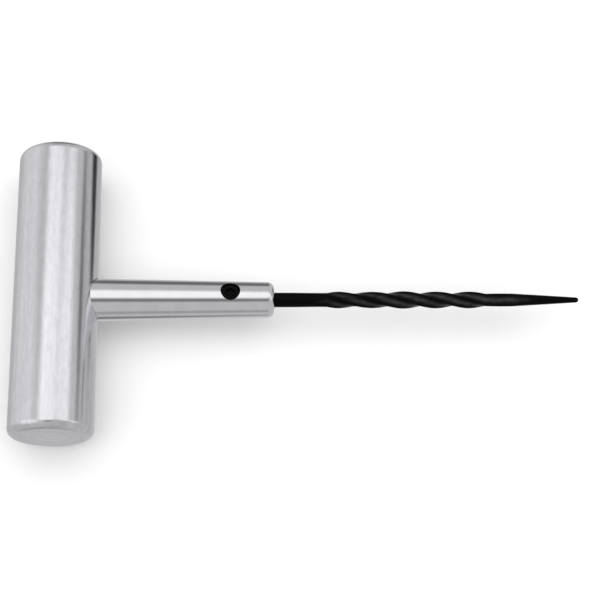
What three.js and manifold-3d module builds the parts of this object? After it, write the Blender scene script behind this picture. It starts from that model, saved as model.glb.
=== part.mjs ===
// Tyre plug insertion tool: a solid aluminium T-handle that clamps a twisted steel needle.
// Millimetres. +X runs along the needle to its tip, +Y along the grip bar, +Z up.
// The tool lies flat, with the origin under the middle of its box, at the lowest point of the grip bar.
import * as THREE from "three";
import * as BufferGeometryUtils from "three/addons/utils/BufferGeometryUtils.js";
import Module from "manifold-3d";

const wasm = await Module();
wasm.setup();

// Grip bar: 1 inch round bar, 3 9/16 inches long
const barRadius = 12.7;
const barLength = 90.5;
const barEdgeRadius = 2.5;

// Stem: stations along it are measured from the bar's axis
const stemOffset = -2.5; // the stem stands a little off the middle of the bar
const stemRootRadius = 6.45;
const stemEndRadius = 5.45;
const stemEndStation = 66;
const stemEdgeRadius = 2;
const shoulderStation = 5.5; // bottom of the bar's pocket, where the stem's shoulder seats
const spigotRadius = 4;
const spigotStation = -6;
const spigotChamfer = 0.8;
const fitGap = 0.15; // clearance on each side of the stem in its pocket

// Socket for the needle, drilled in from the stem's free end
const boreRadius = 2.35;
const boreStation = 36;
const boreChamfer = 0.5;
const drillPointAngle = THREE.MathUtils.degToRad(59);

// Grub screw: M6 x 3 with a 3 mm hexagon socket. Its hole leans from +Z towards +Y
const screwStation = 52.7;
const screwLean = THREE.MathUtils.degToRad(12);
const screwRadius = 2.9;
const screwLength = 3;
const screwChamfer = 0.4;
const hexAcrossFlats = 3;
const hexDepth = 1.6;
const screwHoleRadius = 3;
const countersinkRadius = 3.1;

// Needle
const shankRadius = 2.22;
const shankChamfer = 0.4;
const shankStation = boreStation + 0.5;
const flatHeight = 1.45; // the clamping flat's distance from the needle's axis
const flatEndStation = 58;
const neckRadius = 2.13;
const neckStart = 70; // the shank narrows from here to neckEnd
const neckEnd = 80;
const twistStart = 82;
const twistEnd = 131;
const squareStart = 79; // the round neck begins to turn square
const squareStation = 88; // and is square here
const quarterTurn = 10.05; // length of twist in a quarter of a turn
const twistedSide = 3.86;
const straightSide = 3.98; // the short straight square between the twist and the point
const straightStation = 135; // where it has reached that size
const squareCornerRadius = 0.35;
const flatsAngle = THREE.MathUtils.degToRad(20); // how far the straight square is turned about the axis
const taperStation = 138.5;
const roundingStation = 136.5; // the square begins to turn round
const pointStation = 146; // and is round here
const tipStation = 160.2;
const tipRadius = 0.76;

const screwGap = 0.1; // between the screw's inner end and the needle's flat
const overshoot = 1; // how far a cutter stands out of the surface that it cuts
const roundSegments = 64;
const holeSegments = 32;
const needleSides = 24;
const arcDivisions = 3;
const straightSpacing = 2; // between the needle's rings where it isn't twisted
const twistedSpacing = 0.8;
const noseParts = [0, 0.5, 0.8, 0.95, 1]; // rings along the rounded tip

// The middle of the box and the bar's lowest line set the origin
const barX = -(tipStation - barRadius) / 2;
const axisZ = barRadius;

const barFinish = { color: 0xc9cbcf, roughness: 0.32, metalness: 0.95 };
const stemFinish = { color: 0xd3d4d8, roughness: 0.16, metalness: 1 };
const blackFinish = { color: 0x15161a, roughness: 0.45, metalness: 0.6 };

// A closed three.js geometry as a manifold solid
function toSolid(geometry) {
  const bare = geometry.clone();
  bare.deleteAttribute("normal");
  bare.deleteAttribute("uv");
  const merged = BufferGeometryUtils.mergeVertices(bare, 1e-5);
  const index = merged.index.array;
  const triangles = [];
  for (let i = 0; i < index.length; i += 3) {
    const [a, b, c] = [index[i], index[i + 1], index[i + 2]];
    if (a !== b && b !== c && c !== a) triangles.push(a, b, c);
  }
  return new wasm.Manifold(new wasm.Mesh({
    numProp: 3,
    vertProperties: new Float32Array(merged.attributes.position.array),
    triVerts: new Uint32Array(triangles),
  }));
}

function toGeometry(solid) {
  const mesh = solid.getMesh();
  const geometry = new THREE.BufferGeometry();
  geometry.setAttribute("position", new THREE.BufferAttribute(mesh.vertProperties, 3));
  geometry.setIndex(new THREE.BufferAttribute(mesh.triVerts, 1));
  geometry.computeVertexNormals();
  return geometry;
}

function namedMesh(name, geometry, finish) {
  const mesh = new THREE.Mesh(geometry, new THREE.MeshStandardMaterial(finish));
  mesh.name = name;
  return mesh;
}

// A profile of (radius, station) turned round the X axis
function turned(path, segments) {
  const geometry = new THREE.LatheGeometry(path.getPoints(arcDivisions), segments);
  return geometry.rotateZ(-Math.PI / 2);
}

// A profile of (radius, height) turned round the Z axis
function turnedUpright(path, segments) {
  const geometry = new THREE.LatheGeometry(path.getPoints(arcDivisions), segments);
  return geometry.rotateX(Math.PI / 2);
}

function stemRadiusAt(station) {
  const along = (station - barRadius) / (stemEndStation - barRadius);
  return THREE.MathUtils.lerp(stemRootRadius, stemEndRadius, along);
}

function makeGripBar() {
  const half = barLength / 2;
  const inner = barRadius - barEdgeRadius;
  const profile = new THREE.Path();
  profile.moveTo(0, -half);
  profile.lineTo(inner, -half);
  profile.absarc(inner, -half + barEdgeRadius, barEdgeRadius, -Math.PI / 2, 0, false);
  profile.lineTo(barRadius, half - barEdgeRadius);
  profile.absarc(inner, half - barEdgeRadius, barEdgeRadius, 0, Math.PI / 2, false);
  profile.lineTo(0, half);
  const bar = new THREE.LatheGeometry(profile.getPoints(arcDivisions), roundSegments);

  const pocketRadius = stemRadiusAt(shoulderStation) + fitGap;
  const holeRadius = spigotRadius + fitGap;
  const holeEnd = spigotStation - fitGap;
  const pocketFloor = shoulderStation - fitGap;
  const pocket = new THREE.Path();
  pocket.moveTo(0, holeEnd - holeRadius / Math.tan(drillPointAngle));
  pocket.lineTo(holeRadius, holeEnd);
  pocket.lineTo(holeRadius, pocketFloor);
  pocket.lineTo(pocketRadius, pocketFloor);
  pocket.lineTo(pocketRadius, 2 * barRadius);
  pocket.lineTo(0, 2 * barRadius);
  const cutter = turned(pocket, roundSegments).translate(0, stemOffset, 0);

  const solid = toSolid(bar).subtract(toSolid(cutter));
  const mesh = namedMesh("grip_bar", toGeometry(solid), barFinish);
  mesh.position.set(barX, 0, axisZ);
  return mesh;
}

function makeStem() {
  const endInner = stemEndRadius - stemEdgeRadius;
  const outline = new THREE.Path();
  outline.moveTo(0, spigotStation);
  outline.lineTo(spigotRadius - spigotChamfer, spigotStation);
  outline.lineTo(spigotRadius, spigotStation + spigotChamfer);
  outline.lineTo(spigotRadius, shoulderStation);
  outline.lineTo(stemRadiusAt(shoulderStation), shoulderStation);
  outline.lineTo(stemEndRadius, stemEndStation - stemEdgeRadius);
  outline.absarc(endInner, stemEndStation - stemEdgeRadius, stemEdgeRadius, 0, Math.PI / 2, false);
  outline.lineTo(0, stemEndStation);

  const bore = new THREE.Path();
  bore.moveTo(0, boreStation - boreRadius / Math.tan(drillPointAngle));
  bore.lineTo(boreRadius, boreStation);
  bore.lineTo(boreRadius, stemEndStation - boreChamfer);
  bore.lineTo(boreRadius + 2 * boreChamfer, stemEndStation + boreChamfer);
  bore.lineTo(0, stemEndStation + boreChamfer);

  const crown = stemRadiusAt(screwStation);
  const sink = countersinkRadius - screwHoleRadius;
  const crossHole = new THREE.Path();
  crossHole.moveTo(0, 0);
  crossHole.lineTo(screwHoleRadius, 0);
  crossHole.lineTo(screwHoleRadius, crown - sink);
  crossHole.lineTo(countersinkRadius + overshoot, crown + overshoot);
  crossHole.lineTo(0, crown + overshoot);
  const crossCutter = turnedUpright(crossHole, holeSegments).rotateX(-screwLean);
  crossCutter.translate(screwStation, 0, 0);

  const solid = toSolid(turned(outline, roundSegments))
    .subtract(toSolid(turned(bore, holeSegments)))
    .subtract(toSolid(crossCutter));
  const mesh = namedMesh("stem", toGeometry(solid), stemFinish);
  mesh.position.set(barX, stemOffset, axisZ);
  return mesh;
}

// The needle's outline in one direction, as a distance from its axis. The section is a square with
// round corners where square is 1 and a circle where square is 0.
function sectionRadius(half, square, angle) {
  const quarter = Math.PI / 2;
  const fromFlat = Math.abs(angle - quarter * Math.round(angle / quarter));
  const flat = half / Math.cos(fromFlat);
  const corner = half - squareCornerRadius;
  const diagonal = corner * Math.SQRT2;
  const off = Math.PI / 4 - fromFlat;
  const reach = squareCornerRadius ** 2 - (diagonal * Math.sin(off)) ** 2;
  const onCorner = half * Math.tan(fromFlat) > corner && reach > 0;
  const squareRadius = onCorner ? diagonal * Math.cos(off) + Math.sqrt(reach) : flat;
  return THREE.MathUtils.lerp(half, squareRadius, square);
}

// Half the needle's width, how square it is and how far it has turned at a station
function needleSection(station) {
  const { smoothstep, lerp } = THREE.MathUtils;
  let half = shankRadius;
  half = lerp(half, neckRadius, smoothstep(station, neckStart, neckEnd));
  half = lerp(half, twistedSide / 2, smoothstep(station, neckEnd, squareStation));
  half = lerp(half, straightSide / 2, smoothstep(station, twistEnd, straightStation));
  const taper = THREE.MathUtils.clamp((station - taperStation) / (tipStation - taperStation), 0, 1);
  half = lerp(half, tipRadius, taper);
  const square = smoothstep(station, squareStart, squareStation)
    * (1 - smoothstep(station, roundingStation, pointStation));
  const twisted = THREE.MathUtils.clamp(station, twistStart, twistEnd) - twistEnd;
  const turn = twisted / quarterTurn * Math.PI / 2;
  return { half, square, turn };
}

function needleStations() {
  const stations = [shankStation, shankStation + shankChamfer, flatEndStation + straightSpacing];
  for (let x = neckStart; x < twistStart; x += straightSpacing) stations.push(x);
  for (let x = twistStart; x <= twistEnd; x += twistedSpacing) stations.push(x);
  const nose = tipStation - tipRadius;
  for (let x = twistEnd + straightSpacing; x < nose; x += straightSpacing) stations.push(x);
  for (const part of noseParts) stations.push(nose + tipRadius * part);
  return stations;
}

function makeNeedle() {
  const stations = needleStations();
  const last = stations.length - 1;
  const geometry = new THREE.CylinderGeometry(1, 1, last, needleSides, last);
  const position = geometry.attributes.position;
  const nose = tipStation - tipRadius;
  for (let i = 0; i < position.count; i++) {
    const ring = Math.round(last / 2 - position.getY(i));
    const station = stations[ring];
    const { half, square, turn } = needleSection(station);
    const angle = Math.atan2(position.getZ(i), position.getX(i));
    const onAxis = Math.hypot(position.getX(i), position.getZ(i)) < 0.5;
    const past = Math.max(0, (station - nose) / tipRadius);
    const rounding = Math.sqrt(Math.max(0, 1 - past ** 2));
    let radius = onAxis ? 0 : sectionRadius(half, square, angle) * rounding;
    if (ring === 0 && !onAxis) radius -= shankChamfer;
    const heading = angle + turn + flatsAngle;
    position.setXYZ(i, station, radius * Math.cos(heading), radius * Math.sin(heading));
  }
  const flatCutter = new THREE.BoxGeometry(flatEndStation, 4 * shankRadius, 2 * shankRadius);
  flatCutter.translate(flatEndStation / 2, 0, flatHeight + shankRadius).rotateX(-screwLean);
  const solid = toSolid(geometry).subtract(toSolid(flatCutter));
  const mesh = namedMesh("needle", toGeometry(solid), blackFinish);
  mesh.position.set(barX, stemOffset, axisZ);
  return mesh;
}

function makeGrubScrew() {
  const profile = new THREE.Path();
  profile.moveTo(0, 0);
  profile.lineTo(screwRadius - screwChamfer, 0);
  profile.lineTo(screwRadius, screwChamfer);
  profile.lineTo(screwRadius, screwLength - screwChamfer);
  profile.lineTo(screwRadius - screwChamfer, screwLength);
  profile.lineTo(0, screwLength);
  const hexRadius = hexAcrossFlats / Math.sqrt(3);
  const socket = new THREE.CylinderGeometry(hexRadius, hexRadius, 2 * hexDepth, 6);
  socket.rotateX(Math.PI / 2).translate(0, 0, screwLength);
  const solid = toSolid(turnedUpright(profile, holeSegments)).subtract(toSolid(socket));
  const mesh = namedMesh("grub_screw", toGeometry(solid), blackFinish);
  const outward = new THREE.Vector3(0, Math.sin(screwLean), Math.cos(screwLean));
  mesh.position.set(barX + screwStation, stemOffset, axisZ).addScaledVector(outward, flatHeight + screwGap);
  mesh.rotation.x = -screwLean;
  return mesh;
}

const tool = new THREE.Group();
tool.add(makeGripBar(), makeStem(), makeNeedle(), makeGrubScrew());
export default tool;
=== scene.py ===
import math

import bmesh
import bpy
from mathutils import Matrix, Vector


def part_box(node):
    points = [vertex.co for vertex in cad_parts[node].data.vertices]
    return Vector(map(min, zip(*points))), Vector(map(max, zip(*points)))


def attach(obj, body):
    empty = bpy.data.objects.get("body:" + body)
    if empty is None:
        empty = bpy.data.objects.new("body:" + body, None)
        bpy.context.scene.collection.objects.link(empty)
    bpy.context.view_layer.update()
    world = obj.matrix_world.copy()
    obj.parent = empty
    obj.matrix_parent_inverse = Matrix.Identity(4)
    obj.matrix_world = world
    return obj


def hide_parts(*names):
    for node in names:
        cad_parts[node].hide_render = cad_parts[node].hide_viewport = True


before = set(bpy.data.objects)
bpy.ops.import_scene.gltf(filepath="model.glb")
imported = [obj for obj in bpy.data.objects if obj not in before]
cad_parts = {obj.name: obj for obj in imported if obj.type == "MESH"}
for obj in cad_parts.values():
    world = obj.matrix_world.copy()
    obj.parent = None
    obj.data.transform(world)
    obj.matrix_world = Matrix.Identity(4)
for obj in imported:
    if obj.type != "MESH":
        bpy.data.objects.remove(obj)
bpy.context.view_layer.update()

MM = 0.001
TAU = 2 * math.pi

# Places and main sizes of the pieces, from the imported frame
bar_low, bar_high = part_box("grip_bar")
stem_low, stem_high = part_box("stem")
needle_low, needle_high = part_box("needle")
screw_low, screw_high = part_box("grub_screw")

BAR_RADIUS = (bar_high.z - bar_low.z) / 2
BAR_HALF = (bar_high.y - bar_low.y) / 2
BAR_CENTRE = (bar_low + bar_high) / 2
# where the stem's axis meets the bar's
AXIS = Vector((BAR_CENTRE.x, (stem_low.y + stem_high.y) / 2, BAR_CENTRE.z))
STEM_END = stem_high.x - AXIS.x
SPIGOT_START = stem_low.x - AXIS.x
NEEDLE_START = needle_low.x - AXIS.x
NEEDLE_TIP = needle_high.x - AXIS.x
SCREW_STATION = (screw_low.x + screw_high.x) / 2 - AXIS.x
SCREW_RADIUS = (screw_high.x - screw_low.x) / 2
SCREW_LEAN = math.radians(12)  # from straight up, towards +Y

# Details, in metres. Stations are distances along the stem from the bar's axis
BAR_EDGE = 2.5 * MM
SHOULDER = 5.5 * MM
SPIGOT_RADIUS = 4 * MM
SPIGOT_CHAMFER = 0.8 * MM
SPIGOT_GAP = 0.5 * MM  # from the end of the spigot to the drill point of its hole
RELIEF_LENGTH = 1.2 * MM  # the undercut where the spigot meets the shoulder
RELIEF_DEPTH = 0.5 * MM
SHOULDER_CHAMFER = 0.3 * MM
STEM_ROOT_RADIUS = 6.45 * MM
STEM_END_RADIUS = 5.45 * MM
STEM_EDGE = 2 * MM
FIT_GAP = 0.04 * MM  # clearance between the stem's root and its pocket in the bar
BORE_RADIUS = 2.35 * MM
BORE_END = 36 * MM
BORE_CHAMFER = 0.45 * MM
DRILL_POINT = math.radians(59)  # half the angle of a drill's point
WELD = 0.005 * MM  # points nearer than this after a cut become one
FIN_PASSES = 3  # rounds of taking off faces with a free edge, which a closed skin hasn't got

SCREW_BASE = 1.55 * MM  # heights above the stem's axis, along the screw
SCREW_TOP = 4.55 * MM
SCREW_CHAMFER = 0.45 * MM
THREAD_PITCH = 1 * MM
THREAD_DEPTH = 0.5 * MM
THREAD_CREST = SCREW_RADIUS - 0.03 * MM
CREST_WIDTH = 0.14  # share of half a pitch that a thread's flat crest takes
FLANK_WIDTH = 0.66  # and each sloping flank
HOLE_START = 0.4 * MM  # height above the stem's axis, inside the bore
HOLE_MINOR = SCREW_RADIUS + 0.02 * MM
HOLE_MAJOR = SCREW_RADIUS + 0.3 * MM
HOLE_MOUTH = SCREW_RADIUS + 0.1 * MM
THREAD_WHOLE = 1.2 * MM  # under the stem's surface: here the hole's thread is whole
THREAD_GONE = 0.5 * MM  # and here it has faded out
FLARE_START = 0.25 * MM  # here the hole's mouth begins to widen
FLARE_END = 0.02 * MM  # and here it is at its widest
HEX_FLATS = 3 * MM
HEX_DEPTH = 1.6 * MM
SOCKET_CHAMFER = 0.1 * MM  # depth of the chamfer at its mouth, and how far this passes the corners
SOCKET_CONE = 0.5 * MM  # depth of the cone under the socket

SHANK_RADIUS = 2.22 * MM
SHANK_CHAMFER = 0.4 * MM
FLAT_HEIGHT = 1.45 * MM
FLAT_END = 58 * MM
FLAT_RUNOUT = 0.9 * MM  # the length over which the flat comes back up to the round
NECK_RADIUS = 2.13 * MM
TWIST_START = 82 * MM
TWIST_END = 131 * MM
QUARTER_TURN = 10.05 * MM  # length of twist in a quarter of a turn
FLATS_ANGLE = math.radians(20)  # how far the straight square is turned about the axis
TWISTED_HALF = 1.93 * MM  # half the width across the flats, which swells and shrinks a little
SWELL = 0.075 * MM
SWELL_STATION = 97 * MM
SWELL_LENGTH = 48 * MM
STRAIGHT_HALF = 1.99 * MM  # the short straight square between the twist and the point
TAPER_START = 139.5 * MM
FIRST_SQUARENESS = 0.74  # the first turns are less square than the rest
FIRST_CORNER = 0.5 * MM  # and have rounder corners
LAST_CORNER = 0.2 * MM
TIP_RADIUS = 0.76 * MM

# Between which stations the needle's section changes
NARROWING = (70 * MM, 81 * MM)  # from the shank's radius to the neck's
FLATTENING = (83 * MM, 92 * MM)  # from the neck's radius to the twist's half width
FIRST_SQUARING = (77.5 * MM, 87 * MM)  # from round to FIRST_SQUARENESS
SECOND_SQUARING = (92 * MM, 106 * MM)  # and on to fully square
SHARPENING = (92 * MM, 112 * MM)  # from FIRST_CORNER to LAST_CORNER
STRAIGHTENING = (TWIST_END, TWIST_END + 4 * MM)  # from the twist's half width to the straight square's
ROUNDING = (137 * MM, 147 * MM)  # back to round, for the point

# Shading and looks
ON_EDGE = 1e-7  # metres past the start of the bar's rounded edge that count as none
NEAR_FACE = math.radians(8)  # an exact normal is used only if its face leans from it by less than this
NOISE_SPREAD = (0.3, 0.7)  # between which most values of a noise lie
SOFT_RELIEF = 0.03 * MM  # height at full strength of a surface's waves, mottle and speckle
FINE_RELIEF = 0.01 * MM  # and of its fine lines and rings
END_BLEND = 0.5 * MM  # nearer to the bar's end than this, its pattern turns into the end faces'
FACE_DEPTH = 0.1 * MM  # nearer to the bar's end than this counts as the end face
DEEP_BLACK = (0.001, 0.001, 0.001)


def smoothstep(low, high, x):
    t = min(1.0, max(0.0, (x - low) / (high - low)))
    return t * t * (3 - 2 * t)


def lerp(a, b, t):
    return a + (b - a) * t


def spread(start, end, steps):
    """Evenly spaced values between two values, ends included."""
    return [lerp(start, end, i / steps) for i in range(steps + 1)]


def stem_radius(station):
    along = (station - BAR_RADIUS) / (STEM_END - BAR_RADIUS)
    return lerp(STEM_ROOT_RADIUS, STEM_END_RADIUS, along)


# ---------------------------------------------------------------- mesh building

def arc(station, radius, size, start, end, steps=14):
    """Profile points (station, radius) round a centre, from one angle to another."""
    angles = spread(start, end, steps)
    return [(station + size * math.cos(a), radius + size * math.sin(a)) for a in angles]


def run(start, end, steps):
    """Evenly spaced profile points between two points, ends included."""
    return list(zip(spread(start[0], end[0], steps), spread(start[1], end[1], steps)))


def along_x(station, across, up):
    return AXIS + Vector((station, across, up))


def along_y(station, across, up):
    return BAR_CENTRE + Vector((-across, station, up))


LEAN = Matrix.Rotation(-SCREW_LEAN, 3, "X")


def along_screw(height, across, up):
    return AXIS + Vector((SCREW_STATION, 0, 0)) + LEAN @ Vector((-up, across, height))


def loft(name, rings, start_pole=None, end_pole=None):
    """A skin through rings of equal count. A pole closes an end, and without one it stays open."""
    count = len(rings[0])
    verts = [p for ring in rings for p in ring]
    faces = []
    for r in range(len(rings) - 1):
        for i in range(count):
            j = (i + 1) % count
            faces.append((r * count + i, r * count + j, (r + 1) * count + j, (r + 1) * count + i))
    for pole, ring, flip in ((start_pole, 0, True), (end_pole, len(rings) - 1, False)):
        if pole is None:
            continue
        verts.append(pole)
        for i in range(count):
            a, b = ring * count + i, ring * count + (i + 1) % count
            faces.append((b, a, len(verts) - 1) if flip else (a, b, len(verts) - 1))
    mesh = bpy.data.meshes.new(name)
    mesh.from_pydata([tuple(v) for v in verts], [], faces)
    mesh.validate()
    obj = bpy.data.objects.new(name, mesh)
    bpy.context.scene.collection.objects.link(obj)
    mesh.polygons.foreach_set("use_smooth", [True] * len(mesh.polygons))
    return obj


def turned(name, place, profile, segments):
    """A solid of revolution. Its profile of (station, radius) starts and ends on the axis."""
    angles = [TAU * i / segments for i in range(segments)]
    rings = [[place(s, r * math.cos(a), r * math.sin(a)) for a in angles] for s, r in profile[1:-1]]
    return loft(name, rings, place(profile[0][0], 0, 0), place(profile[-1][0], 0, 0))


def weld_slivers(mesh):
    """Joins points that a cut left almost together, and takes off the fins that this leaves."""
    editing = bmesh.new()
    editing.from_mesh(mesh)
    bmesh.ops.remove_doubles(editing, verts=editing.verts, dist=WELD)
    bmesh.ops.dissolve_degenerate(editing, edges=editing.edges, dist=WELD)
    bmesh.ops.triangulate(editing, faces=editing.faces)
    for _ in range(FIN_PASSES):
        fins = [face for face in editing.faces if any(len(edge.link_faces) == 1 for edge in face.edges)]
        bmesh.ops.delete(editing, geom=fins, context="FACES")
    editing.to_mesh(mesh)
    editing.free()


def cut(obj, cutter):
    """Takes the cutter out of the object, and removes it."""
    modifier = obj.modifiers.new("cut", "BOOLEAN")
    modifier.operation = "DIFFERENCE"
    modifier.solver = "EXACT"
    modifier.object = cutter
    bpy.context.view_layer.update()
    evaluated = obj.evaluated_get(bpy.context.evaluated_depsgraph_get())
    mesh = bpy.data.meshes.new_from_object(evaluated)
    obj.modifiers.clear()
    obj.data = mesh
    bpy.data.objects.remove(cutter)
    weld_slivers(mesh)
    mesh.polygons.foreach_set("use_smooth", [True] * len(mesh.polygons))


def shade(obj, true_normal=None, sharp=math.radians(28)):
    """Smooth shading with sharp edges kept. true_normal(point) is the turned surface's exact normal."""
    mesh = obj.data
    mesh.set_sharp_from_angle(angle=sharp)
    if true_normal is None:
        return
    normals = [Vector(n.vector) for n in mesh.corner_normals]
    for face in mesh.polygons:
        for corner in face.loop_indices:
            exact = true_normal(mesh.vertices[mesh.loops[corner].vertex_index].co)
            if exact.dot(face.normal) > math.cos(NEAR_FACE):
                normals[corner] = exact
    mesh.normals_split_custom_set(normals)


# ---------------------------------------------------------------- pieces

def bar_normal(point):
    across = Vector((point.x - BAR_CENTRE.x, 0, point.z - BAR_CENTRE.z))
    beyond = abs(point.y) - (BAR_HALF - BAR_EDGE)
    outward = across.length - (BAR_RADIUS - BAR_EDGE)
    side = Vector((0, math.copysign(1, point.y), 0))
    if beyond <= ON_EDGE:
        return across.normalized()
    if outward <= ON_EDGE:
        return side
    return (across.normalized() * outward + side * beyond).normalized()


def make_grip_bar():
    inner, shoulder = BAR_RADIUS - BAR_EDGE, BAR_HALF - BAR_EDGE
    smallest = 1 * MM  # radius of the smallest ring of an end face
    profile = [(-BAR_HALF, 0)] + run((-BAR_HALF, smallest), (-BAR_HALF, inner), 6)[:-1]
    profile += arc(-shoulder, inner, BAR_EDGE, math.pi, math.pi / 2)
    profile += run((-shoulder, BAR_RADIUS), (shoulder, BAR_RADIUS), 90)[1:-1]
    profile += arc(shoulder, inner, BAR_EDGE, math.pi / 2, 0)
    profile += run((BAR_HALF, inner), (BAR_HALF, smallest), 6)[1:] + [(BAR_HALF, 0)]
    bar = turned("grip_bar_body", along_y, profile, segments=192)

    hole, pocket = SPIGOT_RADIUS + FIT_GAP, stem_radius(SHOULDER) + FIT_GAP
    floor, end = SHOULDER - FIT_GAP, SPIGOT_START - SPIGOT_GAP
    cutter = turned("pocket_cutter", along_x, [
        (end - hole / math.tan(DRILL_POINT), 0),
        (end, hole), (floor, hole), (floor, pocket),
        (2 * BAR_RADIUS, pocket), (2 * BAR_RADIUS, 0),
    ], segments=160)
    cut(bar, cutter)
    shade(bar, bar_normal)
    return bar


def stem_normal(point):
    across = Vector((0, point.y - AXIS.y, point.z - AXIS.z))
    slope = (STEM_ROOT_RADIUS - STEM_END_RADIUS) / (STEM_END - BAR_RADIUS)
    return (across.normalized() + Vector((slope, 0, 0))).normalized()


def thread(turns):
    """How deep the groove is at a point of the thread, 0 on the crest and 1 at the root."""
    off = abs(turns - round(turns)) * 2
    return min(1.0, max(0.0, (off - CREST_WIDTH) / FLANK_WIDTH))


def threaded_rings(base, top, spacing, sides, radius_at):
    """Rings up a threaded length. radius_at(height, angle, groove) gives the radius."""
    steps = round((top - base) / spacing)
    rings = []
    for k in range(steps + 1):
        height = lerp(base, top, k / steps)
        ring = []
        for i in range(sides):
            angle = TAU * i / sides
            groove = thread(height / THREAD_PITCH - i / sides)
            radius = radius_at(height, angle, groove)
            ring.append(along_screw(height, radius * math.cos(angle), radius * math.sin(angle)))
        rings.append(ring)
    return rings


def make_stem():
    edge = STEM_END - STEM_EDGE
    mouth = BORE_RADIUS + BORE_CHAMFER
    relief = SPIGOT_RADIUS - RELIEF_DEPTH
    profile = [
        (SPIGOT_START, 0), (SPIGOT_START, SPIGOT_RADIUS - SPIGOT_CHAMFER),
        (SPIGOT_START + SPIGOT_CHAMFER, SPIGOT_RADIUS),
        (SHOULDER - RELIEF_LENGTH, SPIGOT_RADIUS), (SHOULDER - RELIEF_LENGTH, relief),
        (SHOULDER, relief), (SHOULDER, stem_radius(SHOULDER) - SHOULDER_CHAMFER),
    ]
    profile += run((SHOULDER + SHOULDER_CHAMFER, stem_radius(SHOULDER)), (edge, STEM_END_RADIUS), 110)
    profile += arc(edge, STEM_END_RADIUS - STEM_EDGE, STEM_EDGE, math.pi / 2, 0)[1:]
    profile += run((STEM_END, STEM_END_RADIUS - STEM_EDGE), (STEM_END, mouth), 4)[1:]
    profile += [(STEM_END - BORE_CHAMFER, BORE_RADIUS)]
    profile += run((STEM_END - 1 * MM, BORE_RADIUS), (BORE_END, BORE_RADIUS), 30)
    profile += [(BORE_END - BORE_RADIUS / math.tan(DRILL_POINT), 0)]
    stem = turned("stem_body", along_x, profile, segments=160)

    crown = stem_radius(SCREW_STATION)
    above = crown + 0.8 * MM  # where the cutter for the threaded hole ends, outside the stem

    def hole_radius(height, angle, groove):
        surface = math.sqrt(crown ** 2 - (HOLE_MINOR * math.cos(angle)) ** 2)
        fade = smoothstep(THREAD_GONE, THREAD_WHOLE, surface - height)
        flare = smoothstep(-FLARE_START, -FLARE_END, height - surface)
        threaded = lerp(HOLE_MINOR, lerp(HOLE_MAJOR, HOLE_MINOR, groove), fade)
        return max(threaded, lerp(HOLE_MINOR, HOLE_MOUTH, flare))

    rings = threaded_rings(HOLE_START, above, spacing=0.07 * MM, sides=96, radius_at=hole_radius)
    cutter = loft("cross_cutter", rings, along_screw(HOLE_START, 0, 0), along_screw(above, 0, 0))
    cut(stem, cutter)
    shade(stem, stem_normal)
    return stem


def needle_section(station):
    """Half the width, how square the section is, its corner radius and its turn, at a station."""
    half = lerp(SHANK_RADIUS, NECK_RADIUS, smoothstep(*NARROWING, station))
    twisted = TWISTED_HALF + SWELL * math.cos(TAU * (station - SWELL_STATION) / SWELL_LENGTH)
    half = lerp(half, twisted, smoothstep(*FLATTENING, station))
    half = lerp(half, STRAIGHT_HALF, smoothstep(*STRAIGHTENING, station))
    half = lerp(half, TIP_RADIUS, max(0.0, (station - TAPER_START) / (NEEDLE_TIP - TAPER_START)))
    square = FIRST_SQUARENESS * smoothstep(*FIRST_SQUARING, station)
    square += (1 - FIRST_SQUARENESS) * smoothstep(*SECOND_SQUARING, station)
    square *= 1 - smoothstep(*ROUNDING, station)
    corner = lerp(FIRST_CORNER, LAST_CORNER, smoothstep(*SHARPENING, station))
    before_end = min(max(station, TWIST_START), TWIST_END) - TWIST_END
    return half, square, corner, FLATS_ANGLE + before_end / QUARTER_TURN * math.pi / 2


def section_radius(half, square, corner, angle):
    """Distance from the axis to the edge of a square with round corners, mixed with a circle."""
    quarter = math.pi / 2
    off_flat = abs(angle - quarter * round(angle / quarter))
    inset = half - corner
    radius = half / math.cos(off_flat)
    off_corner = math.pi / 4 - off_flat
    reach = corner ** 2 - 2 * (inset * math.sin(off_corner)) ** 2
    if half * math.tan(off_flat) > inset and reach > 0:
        radius = math.sqrt(2) * inset * math.cos(off_corner) + math.sqrt(reach)
    return lerp(half, radius, square)


def needle_stations(nose):
    """Stations of the needle's rings, close together from its neck to part-way along its taper."""
    coarse_end, close_start = 77 * MM, 77.3 * MM
    close_end, coarse_start = 148 * MM, 148.6 * MM
    stations = [NEEDLE_START, NEEDLE_START + 0.15 * MM, NEEDLE_START + SHANK_CHAMFER]
    stations += spread(NEEDLE_START + 1 * MM, FLAT_END, 40)
    stations += spread(FLAT_END + 0.1 * MM, FLAT_END + FLAT_RUNOUT, 8)
    stations += spread(FLAT_END + 1.4 * MM, coarse_end, 24)
    stations += spread(close_start, close_end, 260)
    stations += spread(coarse_start, nose, 24)
    return stations + [nose + TIP_RADIUS * math.sin(math.pi / 2 * i / 8) for i in range(1, 8)]


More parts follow.
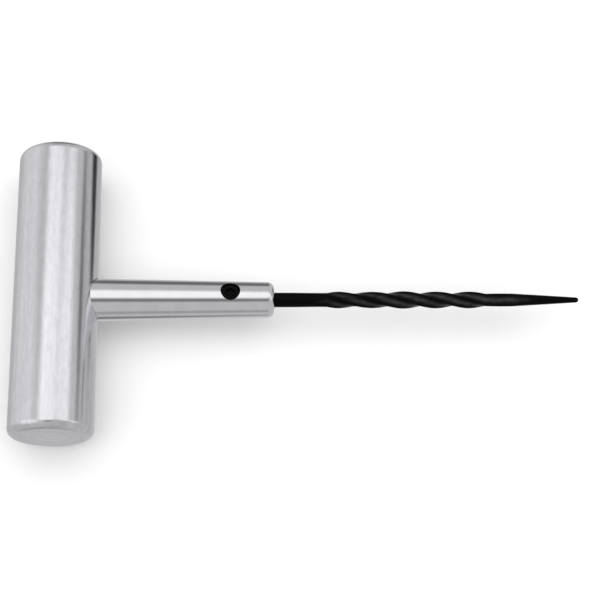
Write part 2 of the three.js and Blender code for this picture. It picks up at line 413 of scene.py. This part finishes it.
def make_needle():
    nose = NEEDLE_TIP - TIP_RADIUS  # where the rounded tip begins
    sides = 64
    rings = []
    flatness = []  # 1 in the middle of a flat, 0 on a corner and where the needle is round
    clamp = Vector((0, math.sin(SCREW_LEAN), math.cos(SCREW_LEAN)))  # the flat's outward direction
    for station in needle_stations(nose):
        half, square, corner, turn = needle_section(station)
        shrink = max(0.0, NEEDLE_START + SHANK_CHAMFER - station)
        past = min(1.0, max(0.0, (station - nose) / TIP_RADIUS))
        rise = SHANK_RADIUS * smoothstep(FLAT_END, FLAT_END + FLAT_RUNOUT, station)
        ring = []
        for i in range(sides):
            angle = TAU * i / sides
            radius = section_radius(half, square, corner, angle) * math.sqrt(1 - past ** 2) - shrink
            arm = Vector((0, radius * math.cos(angle + turn), radius * math.sin(angle + turn)))
            arm -= clamp * max(0.0, arm.dot(clamp) - FLAT_HEIGHT - rise)
            ring.append(along_x(station, arm.y, arm.z))
            flatness.append(square * (0.5 + 0.5 * math.cos(4 * angle)) ** 2)
        rings.append(ring)
    needle = loft("needle_body", rings, along_x(NEEDLE_START, 0, 0), along_x(NEEDLE_TIP, 0, 0))
    # By flatness the needle's material paints the flats of the twist lighter: partly wear, partly painted
    # sheen.
    attribute = needle.data.attributes.new("flatness", "FLOAT", "POINT")
    attribute.data.foreach_set("value", flatness + [0, 0])  # the two poles come last
    shade(needle, sharp=math.radians(40))
    return needle


def make_grub_screw():
    sides = 96
    face = THREAD_CREST - SCREW_CHAMFER
    outer_ring = face - 0.3 * MM  # radii of two rings on the flat inner end
    inner_ring = outer_ring - 0.5 * MM
    rim = 0.02 * MM  # from each end face to the nearest ring of the thread
    mouth = HEX_FLATS / math.sqrt(3) + SOCKET_CHAMFER

    def screw_radius(height, angle, groove):
        chamfered = face + min(height - SCREW_BASE, SCREW_TOP - height)
        return min(THREAD_CREST - THREAD_DEPTH * groove, chamfered)

    def plain_ring(height, radius_at):
        ring = []
        for i in range(sides):
            angle = TAU * i / sides
            radius = radius_at(angle)
            ring.append(along_screw(height, radius * math.cos(angle), radius * math.sin(angle)))
        return ring

    def hexagon(angle):
        sector = TAU / 6
        return HEX_FLATS / 2 / math.cos((angle % sector) - sector / 2)

    socket_floor = SCREW_TOP - HEX_DEPTH
    rings = [plain_ring(SCREW_BASE, lambda a: inner_ring), plain_ring(SCREW_BASE, lambda a: outer_ring)]
    rings += threaded_rings(
        SCREW_BASE + rim, SCREW_TOP - rim, spacing=0.06 * MM, sides=sides, radius_at=screw_radius,
    )
    rings += [plain_ring(SCREW_TOP, lambda a: face), plain_ring(SCREW_TOP, lambda a: mouth)]
    rings.append(plain_ring(SCREW_TOP - SOCKET_CHAMFER, lambda a: hexagon(a) + 0.02 * MM))
    straight_start = SCREW_TOP - 2 * SOCKET_CHAMFER
    rings += [plain_ring(height, hexagon) for height in spread(straight_start, socket_floor, 5)]
    rings.append(plain_ring(socket_floor - 0.1 * MM, lambda a: hexagon(a) * 0.9))
    start, end = along_screw(SCREW_BASE, 0, 0), along_screw(socket_floor - SOCKET_CONE, 0, 0)
    screw = loft("grub_screw_body", rings, start, end)
    shade(screw, sharp=math.radians(30))
    return screw


# ---------------------------------------------------------------- materials

def new_material(name):
    material = bpy.data.materials.new(name)
    material.use_nodes = True
    nodes = material.node_tree.nodes
    return material, nodes, material.node_tree.links, nodes["Principled BSDF"]


def stretched_noise(nodes, links, scale, detail=3.0, roughness=0.55):
    """Noise with its own scale per millimetre along each axis of the tool."""
    place = nodes.new("ShaderNodeTexCoord")
    mapping = nodes.new("ShaderNodeMapping")
    mapping.inputs["Scale"].default_value = [s / MM for s in scale]
    links.new(place.outputs["Object"], mapping.inputs["Vector"])
    noise = nodes.new("ShaderNodeTexNoise")
    noise.inputs["Scale"].default_value = 1.0
    noise.inputs["Detail"].default_value = detail
    noise.inputs["Roughness"].default_value = roughness
    links.new(mapping.outputs["Vector"], noise.inputs["Vector"])
    return noise.outputs["Fac"]


def remap(nodes, links, value, low, high, new_low, new_high):
    node = nodes.new("ShaderNodeMapRange")
    node.inputs["From Min"].default_value = low
    node.inputs["From Max"].default_value = high
    node.inputs["To Min"].default_value = new_low
    node.inputs["To Max"].default_value = new_high
    links.new(value, node.inputs["Value"])
    return node.outputs["Result"]


def mix_colours(nodes, links, factor, dark, light):
    node = nodes.new("ShaderNodeMix")
    node.data_type = "RGBA"
    node.inputs["A"].default_value = (*dark, 1)
    node.inputs["B"].default_value = (*light, 1)
    links.new(factor, node.inputs["Factor"])
    return node.outputs["Result"]


def bumped(nodes, links, height, strength, distance, before=None):
    node = nodes.new("ShaderNodeBump")
    node.inputs["Strength"].default_value = strength
    node.inputs["Distance"].default_value = distance
    links.new(height, node.inputs["Height"])
    if before is not None:
        links.new(before, node.inputs["Normal"])
    return node.outputs["Normal"]


def blend_values(nodes, links, factor, first, second):
    """A mix of two values. The factor is an output of another node, or a number."""
    node = nodes.new("ShaderNodeMix")
    if isinstance(factor, bpy.types.NodeSocket):
        links.new(factor, node.inputs["Factor"])
    else:
        node.inputs["Factor"].default_value = factor
    links.new(first, node.inputs["A"])
    links.new(second, node.inputs["B"])
    return node.outputs["Result"]


def bar_end_mask(nodes, links, start):
    """0 along the bar, rising past start (a distance from its middle) to 1 on its two end faces."""
    place = nodes.new("ShaderNodeTexCoord")
    split = nodes.new("ShaderNodeSeparateXYZ")
    size = nodes.new("ShaderNodeMath")
    size.operation = "ABSOLUTE"
    links.new(place.outputs["Object"], split.inputs["Vector"])
    links.new(split.outputs["Y"], size.inputs[0])
    return remap(nodes, links, size.outputs["Value"], start, BAR_HALF - FACE_DEPTH, 0, 1)


def facing_marks(nodes, links, per_mm):
    """Rings that a lathe tool leaves on an end face, as noise over the distance from the bar's axis."""
    place = nodes.new("ShaderNodeTexCoord")
    centred = nodes.new("ShaderNodeVectorMath")
    centred.operation = "SUBTRACT"
    centred.inputs[1].default_value = BAR_CENTRE
    flat = nodes.new("ShaderNodeVectorMath")
    flat.operation = "MULTIPLY"
    flat.inputs[1].default_value = (1, 0, 1)
    length = nodes.new("ShaderNodeVectorMath")
    length.operation = "LENGTH"
    noise = nodes.new("ShaderNodeTexNoise")
    noise.noise_dimensions = "1D"
    noise.inputs["Scale"].default_value = per_mm / MM
    noise.inputs["Detail"].default_value = 2
    links.new(place.outputs["Object"], centred.inputs[0])
    links.new(centred.outputs["Vector"], flat.inputs[0])
    links.new(flat.outputs["Vector"], length.inputs[0])
    links.new(length.outputs["Value"], noise.inputs["W"])
    return noise.outputs["Fac"]


def drawn_aluminium():
    """Satin bar stock: long draw lines and soft waves along the bar, and turning marks on its end faces."""
    material, nodes, links, shader = new_material("drawn_aluminium")
    shader.inputs["Metallic"].default_value = 1.0
    ends = bar_end_mask(nodes, links, BAR_HALF - END_BLEND)
    edges = bar_end_mask(nodes, links, BAR_HALF - BAR_EDGE)
    waves = stretched_noise(nodes, links, (0.5, 0.008, 0.5), detail=3)
    lines = stretched_noise(nodes, links, (6, 0.04, 6), detail=4)
    mottle = stretched_noise(nodes, links, (0.9, 0.25, 0.9), detail=4, roughness=0.65)
    waves = blend_values(nodes, links, ends, waves, facing_marks(nodes, links, 0.4))
    lines = blend_values(nodes, links, ends, lines, facing_marks(nodes, links, 4))
    clouds = blend_values(nodes, links, 0.5, waves, mottle)
    tone = mix_colours(nodes, links, remap(nodes, links, clouds, 0.36, 0.64, 0, 1),
                       dark=(0.74, 0.74, 0.775), light=(0.91, 0.91, 0.95))
    links.new(tone, shader.inputs["Base Color"])
    drawn = remap(nodes, links, lines, *NOISE_SPREAD, 0.13, 0.21)
    faced = remap(nodes, links, lines, *NOISE_SPREAD, 0.26, 0.36)
    links.new(blend_values(nodes, links, edges, drawn, faced), shader.inputs["Roughness"])
    soft = bumped(nodes, links, waves, 0.15, SOFT_RELIEF)
    soft = bumped(nodes, links, mottle, 0.22, SOFT_RELIEF, soft)
    links.new(bumped(nodes, links, lines, 0.1, FINE_RELIEF, soft), shader.inputs["Normal"])
    return material


def polished_aluminium():
    """Turned and polished stem: faint rings round the stem."""
    material, nodes, links, shader = new_material("polished_aluminium")
    shader.inputs["Metallic"].default_value = 1.0
    rings = stretched_noise(nodes, links, (9, 0.15, 0.15), detail=3)
    cloud = stretched_noise(nodes, links, (0.25, 0.25, 0.25), detail=3)
    tone = mix_colours(nodes, links, cloud, dark=(0.83, 0.83, 0.86), light=(0.95, 0.95, 0.98))
    links.new(tone, shader.inputs["Base Color"])
    links.new(remap(nodes, links, rings, *NOISE_SPREAD, 0.08, 0.14), shader.inputs["Roughness"])
    mottle = stretched_noise(nodes, links, (0.3, 0.8, 0.8), detail=4, roughness=0.65)
    soft = bumped(nodes, links, mottle, 0.14, SOFT_RELIEF)
    links.new(bumped(nodes, links, rings, 0.05, FINE_RELIEF, soft), shader.inputs["Normal"])
    return material


def black_oxide(name, gloss, rough_low, rough_high, dark, light, flats=False):
    """Blackened steel with a fine grain and patches. With flats, the flats of the twist are lighter and its
    corners darker: partly wear, partly painted sheen for the light that the flats reflect.
    """
    material, nodes, links, shader = new_material(name)
    shader.inputs["Metallic"].default_value = 0.0
    shader.inputs["Specular IOR Level"].default_value = gloss
    patches = stretched_noise(nodes, links, (0.45, 0.9, 0.9), detail=5)
    speckle = stretched_noise(nodes, links, (4, 4, 4), detail=3)
    tone = remap(nodes, links, patches, *NOISE_SPREAD, 0, 1)
    # Painted sheen: the flats of the twist are lighter than its corners and the round shank, partly wear
    # and partly painted reflection of light on the flats.
    if flats:
        attribute = nodes.new("ShaderNodeAttribute")
        attribute.attribute_name = "flatness"
        uneven = remap(nodes, links, patches, *NOISE_SPREAD, 0.3, 1.3)
        product = nodes.new("ShaderNodeMath")
        product.operation = "MULTIPLY"
        links.new(remap(nodes, links, attribute.outputs["Fac"], 0, 1, 0.02, 1), product.inputs[0])
        links.new(uneven, product.inputs[1])
        tone = product.outputs["Value"]
    links.new(mix_colours(nodes, links, tone, dark, light), shader.inputs["Base Color"])
    rough = remap(nodes, links, patches, *NOISE_SPREAD, rough_low, rough_high)
    links.new(rough, shader.inputs["Roughness"])
    links.new(bumped(nodes, links, speckle, 0.15, SOFT_RELIEF), shader.inputs["Normal"])
    return material


def floor_material():
    material, nodes, links, shader = new_material("pale_floor")
    shader.inputs["Roughness"].default_value = 0.7
    shader.inputs["Specular IOR Level"].default_value = 0.2
    cloud = stretched_noise(nodes, links, (0.01, 0.01, 0.01))
    tone = mix_colours(nodes, links, cloud, dark=(0.9, 0.9, 0.895), light=(0.93, 0.93, 0.93))
    links.new(tone, shader.inputs["Base Color"])
    return material


def finish_piece(piece, material, body, node):
    piece.data.materials.clear()
    piece.data.materials.append(material)
    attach(piece, body)
    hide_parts(node)


# ---------------------------------------------------------------- studio

def add_sweep():
    """Floor that curves up into a low wall, so that no horizon shows. It isn't seen in reflections."""
    flat_radius, bend, sides, steps = 1.8, 1.2, 96, 24
    turns = [TAU * i / sides for i in range(sides)]
    rings = []
    for k in range(steps + 1):
        climb = math.pi / 2 * (1 - k / steps)
        radius = flat_radius + bend * math.sin(climb)
        height = bend - bend * math.cos(climb)
        rings.append([Vector((radius * math.cos(a), radius * math.sin(a), height)) for a in turns])
    floor = loft("floor", rings, end_pole=Vector((0, 0, 0)))
    floor.data.materials.append(floor_material())
    floor.visible_glossy = False


def add_fill(distance, width, radiance):
    """A wide lamp straight above, which lights the floor and isn't seen in reflections."""
    data = bpy.data.lights.new("fill", "AREA")
    data.shape = "SQUARE"
    data.size = width
    data.energy = radiance * math.pi * width ** 2
    lamp = bpy.data.objects.new("fill", data)
    lamp.location = AXIS + Vector((0, 0, distance))
    lamp.visible_glossy = False
    lamp.visible_camera = False
    bpy.context.scene.collection.objects.link(lamp)


# The studio round the tool: pale walls, soft round lamps and dark cards. Each lamp or card has a
# direction from the tool, a size on a sphere of radius 1, and how much light it adds. A card's light is
# less than nothing.
WALL_LIGHT = 0.5
DARKEST = 0.02
SOFT_EDGE = 0.6  # the part of a lamp's or card's size over which it fades
STUDIO = [
    ((-0.1, 0.25, 1), 0.55, 0.5),  # lamp overhead
    ((0.6, 0.2, 0.8), 0.4, 0.5),  # lamp overhead, right
    ((-0.8, -0.2, 0.6), 0.6, 0.4),  # lamp at the front left
    ((-0.9, 0.4, 0.1), 0.8, 0.2),  # pale wall on the left
    ((0.9, 0, 0.4), 0.3, 0.3),  # small lamp on the right
    ((0, 0, -1), 0.6, 0.1),  # pale floor
    ((0, -0.35, 0.95), 0.25, -0.3),  # dark patch where the camera is
    ((0.9, 0.35, 0.2), 0.15, -0.35),  # narrow dark card at the back right
    ((0.8, 0.5, -0.4), 0.25, -0.7),  # wider dark card below it
    ((0, 1, -0.15), 0.45, -0.35),  # dark gap at the back
    ((0, -1, -0.1), 0.25, -0.15),  # dark gap at the front
    ((-0.15, -0.7, -0.7), 0.3, -0.3),  # shade under the stem
]


def add_studio():
    world = bpy.data.worlds.new("studio")
    world.use_nodes = True
    nodes, links = world.node_tree.nodes, world.node_tree.links
    heading = nodes.new("ShaderNodeTexCoord").outputs["Generated"]
    total = None
    for direction, size, light in STUDIO:
        place = nodes.new("ShaderNodeMapping")
        place.inputs["Location"].default_value = -Vector(direction).normalized() / size
        place.inputs["Scale"].default_value = [1 / size] * 3
        links.new(heading, place.inputs["Vector"])
        ball = nodes.new("ShaderNodeTexGradient")
        ball.gradient_type = "SPHERICAL"
        links.new(place.outputs["Vector"], ball.inputs["Vector"])
        soft = nodes.new("ShaderNodeMapRange")
        soft.interpolation_type = "SMOOTHSTEP"
        soft.inputs["From Max"].default_value = SOFT_EDGE
        soft.inputs["To Max"].default_value = light
        links.new(ball.outputs["Fac"], soft.inputs["Value"])
        add = nodes.new("ShaderNodeMath")
        add.operation = "ADD"
        add.inputs[0].default_value = WALL_LIGHT
        if total is not None:
            links.new(total, add.inputs[0])
        links.new(soft.outputs["Result"], add.inputs[1])
        total = add.outputs["Value"]
    clamped = nodes.new("ShaderNodeMath")
    clamped.operation = "MAXIMUM"
    clamped.inputs[1].default_value = DARKEST
    links.new(total, clamped.inputs[0])
    links.new(clamped.outputs["Value"], nodes["Background"].inputs["Strength"])
    nodes["Background"].inputs["Color"].default_value = (1, 1, 1, 1)
    bpy.context.scene.world = world


def add_camera():
    """It looks down at a point on the needle, and is tilted, turned and rolled from straight above."""
    target = AXIS + Vector((74 * MM, 0, 0))
    tilt, azimuth, roll = math.radians(20), math.radians(-10), math.radians(9.4)
    distance = 433 * MM
    turn = Matrix.Rotation(azimuth, 4, "Z") @ Matrix.Rotation(tilt, 4, "X") @ Matrix.Rotation(roll, 4, "Z")
    data = bpy.data.cameras.new("camera")
    data.lens, data.sensor_width = 85, 36
    data.clip_start = 0.01
    camera = bpy.data.objects.new("camera", data)
    camera.matrix_world = Matrix.Translation(target + turn.to_3x3() @ Vector((0, 0, distance))) @ turn
    bpy.context.scene.collection.objects.link(camera)
    bpy.context.scene.camera = camera


bpy.context.scene.view_settings.view_transform = "Standard"
add_camera()
finish_piece(make_grip_bar(), drawn_aluminium(), "handle", "grip_bar")
finish_piece(make_stem(), polished_aluminium(), "handle", "stem")
# The needle's flats are painted lighter: partly wear, partly painted sheen.
black_needle = black_oxide(
    "black_needle", gloss=0.05, rough_low=0.26, rough_high=0.4,
    dark=DEEP_BLACK, light=(0.036, 0.036, 0.038), flats=True,
)
black_screw = black_oxide(
    "black_screw", gloss=0.08, rough_low=0.35, rough_high=0.5,
    dark=DEEP_BLACK, light=(0.003, 0.003, 0.003),
)
finish_piece(make_needle(), black_needle, "needle", "needle")
finish_piece(make_grub_screw(), black_screw, "grub_screw", "grub_screw")

add_sweep()
add_studio()
add_fill(distance=2, width=4, radiance=0.95)
